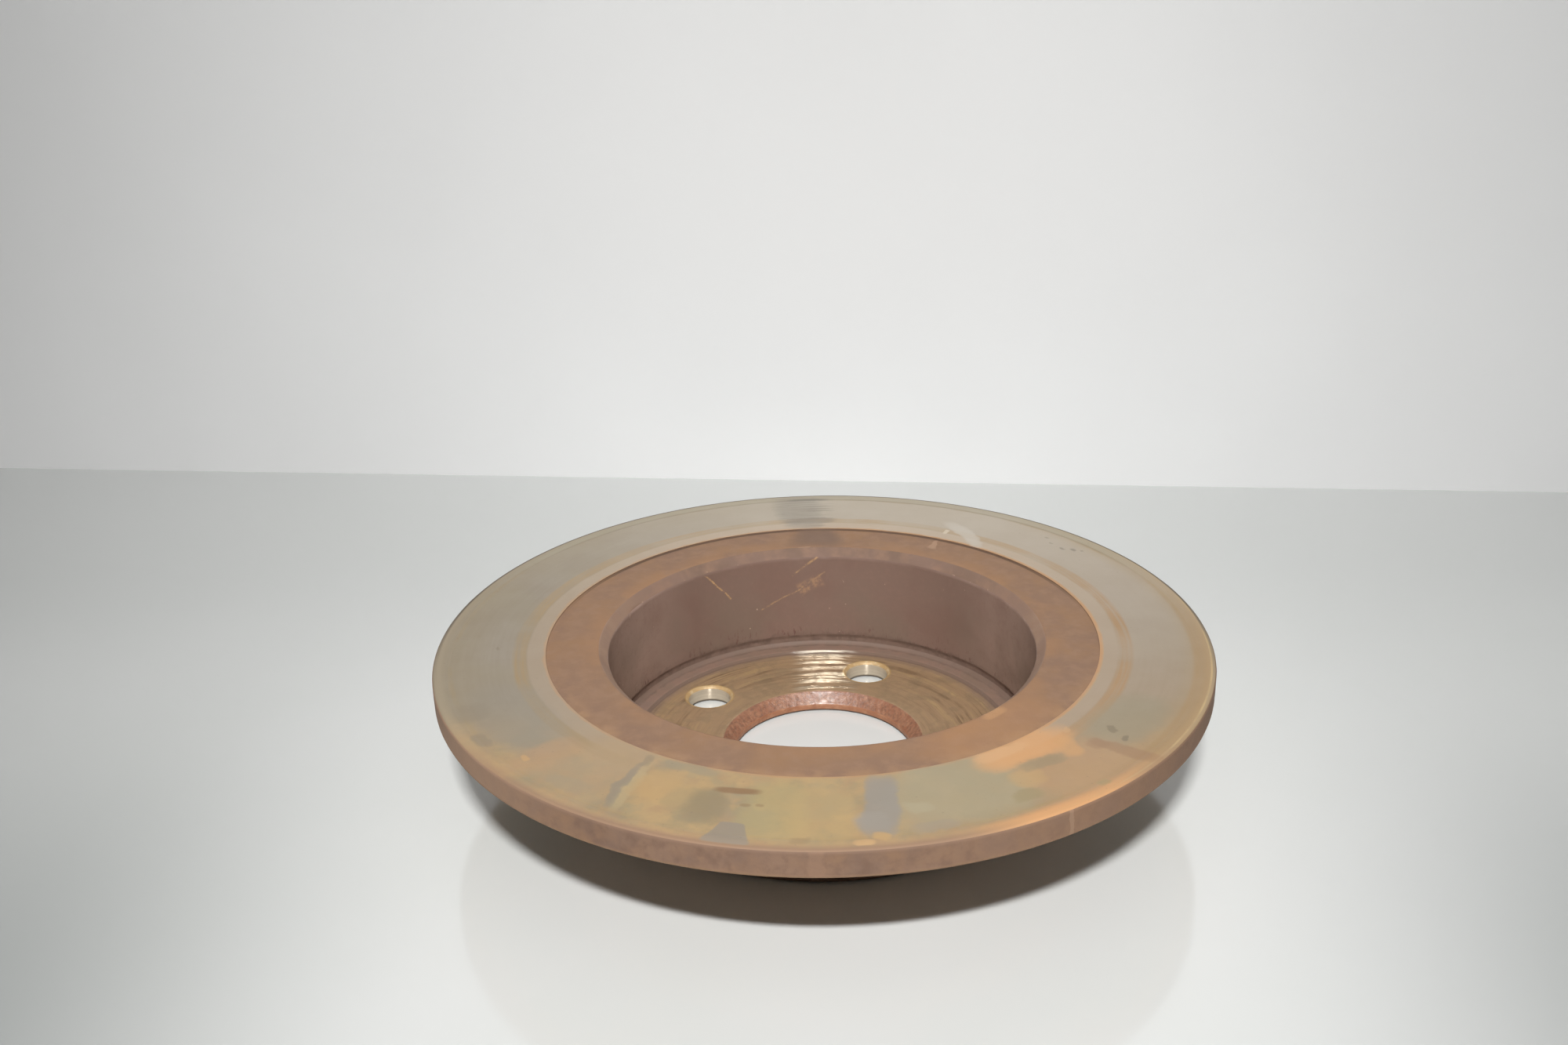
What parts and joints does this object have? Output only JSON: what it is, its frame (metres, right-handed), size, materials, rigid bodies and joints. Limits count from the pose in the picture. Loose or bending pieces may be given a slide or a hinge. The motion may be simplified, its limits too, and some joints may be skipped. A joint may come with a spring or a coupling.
{
  "type": "brake disc",
  "caption": "Solid brake disc with a deep hat that holds a parking brake drum, a centre bore and a ring of bolt holes, used and rusted.",
  "frame": {"origin": "on the disc's axis, in the wheel face that the disc stands on", "axes": "+Z along the axis from the wheel face to the inboard friction face, +X through the first bolt hole"},
  "size_m": [0.278, 0.278, 0.0515],
  "materials": {
    "rusted_iron": "turned grey iron, worn grey where the pads sweep and rusted brown elsewhere"
  },
  "bodies": {
    "root": {"brake_disc": "rusted_iron"}
  },
  "joints": []
}
